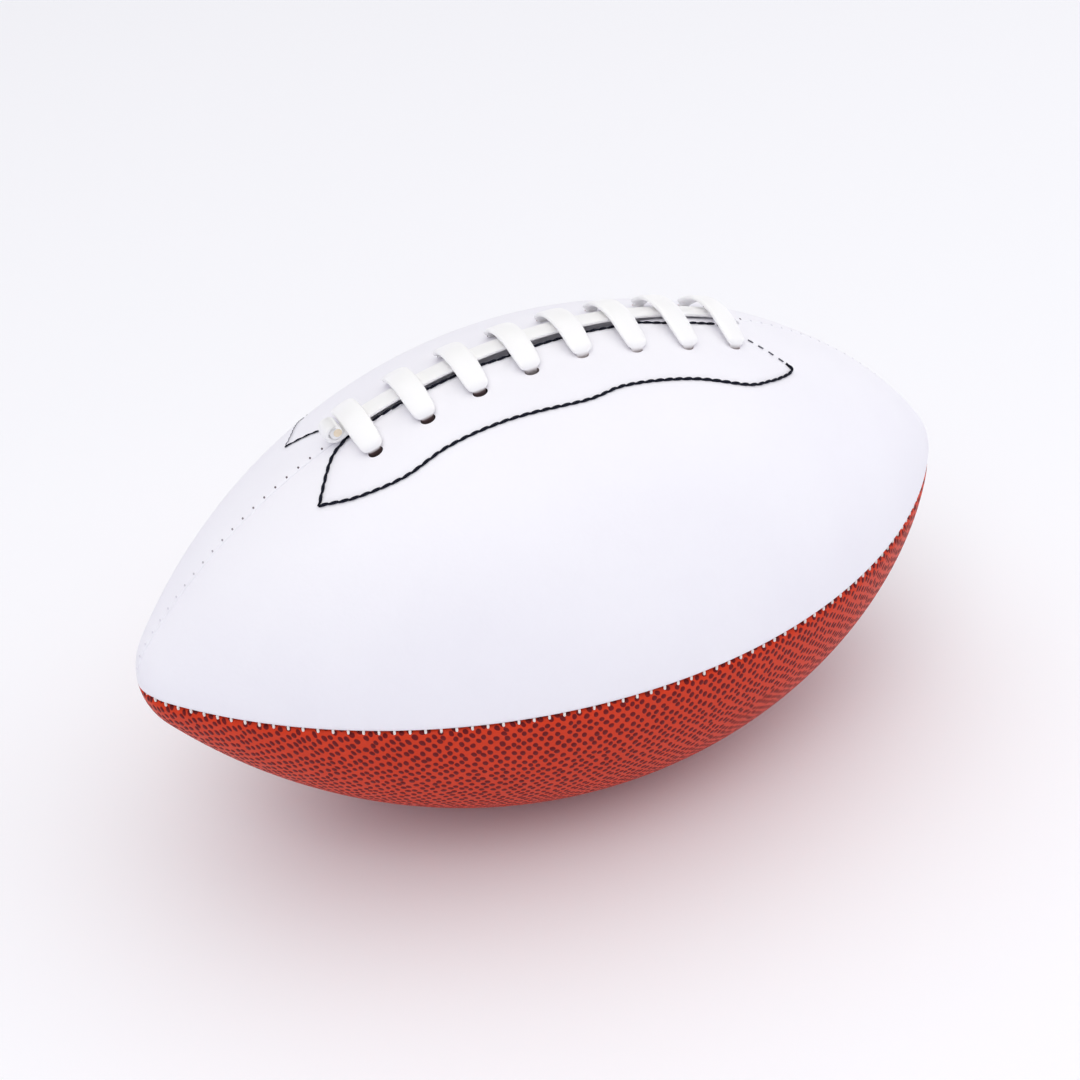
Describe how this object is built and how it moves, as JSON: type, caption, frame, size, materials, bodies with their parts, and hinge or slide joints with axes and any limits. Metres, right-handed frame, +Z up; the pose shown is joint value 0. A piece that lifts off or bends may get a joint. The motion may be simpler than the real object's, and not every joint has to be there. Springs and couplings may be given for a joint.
{
  "type": "american football",
  "caption": "Prolate ball of smooth upper and pebbled lower cover panels with rolled seams, drawn shut by a lace over a slit; for throwing, catching and kicking.",
  "frame": {"origin": "on the rest plane below the middle of the ball's length", "axes": "+X along the ball's long axis, with the lacing's cut end towards -X; +Z up through the lacing; -Y towards the pictured side"},
  "size_m": [0.254, 0.1396, 0.1445],
  "materials": {
    "white_cover": "smooth matte composite leather",
    "pebbled_cover": "pebbled composite leather, raised dots darker than the ground",
    "lining": "woven lining cloth",
    "lace_patch": "reinforcing cloth",
    "tongue": "grey padding cloth",
    "bladder": "moulded",
    "valve": "moulded",
    "lace": "soft extruded plastic",
    "seam_thread": "waxed thread",
    "patch_thread": "waxed thread"
  },
  "bodies": {
    "root": {"white_panel_front": "white_cover", "pebbled_panel_front": "pebbled_cover", "white_lining_front": "lining", "pebbled_lining_front": "lining", "lace_patch_front": "lace_patch", "patch_stitching_front": "patch_thread", "side_seam_thread_front": "seam_thread", "white_panel_back": "white_cover", "pebbled_panel_back": "pebbled_cover", "white_lining_back": "lining", "pebbled_lining_back": "lining", "lace_patch_back": "lace_patch", "patch_stitching_back": "patch_thread", "side_seam_thread_back": "seam_thread", "bottom_seam_thread": "seam_thread", "top_seam_thread_left": "seam_thread", "top_seam_thread_right": "seam_thread", "lace_tongue": "tongue", "bladder": "bladder", "valve_seat": "valve", "valve_core": "valve", "lace": "lace"}
  },
  "joints": []
}
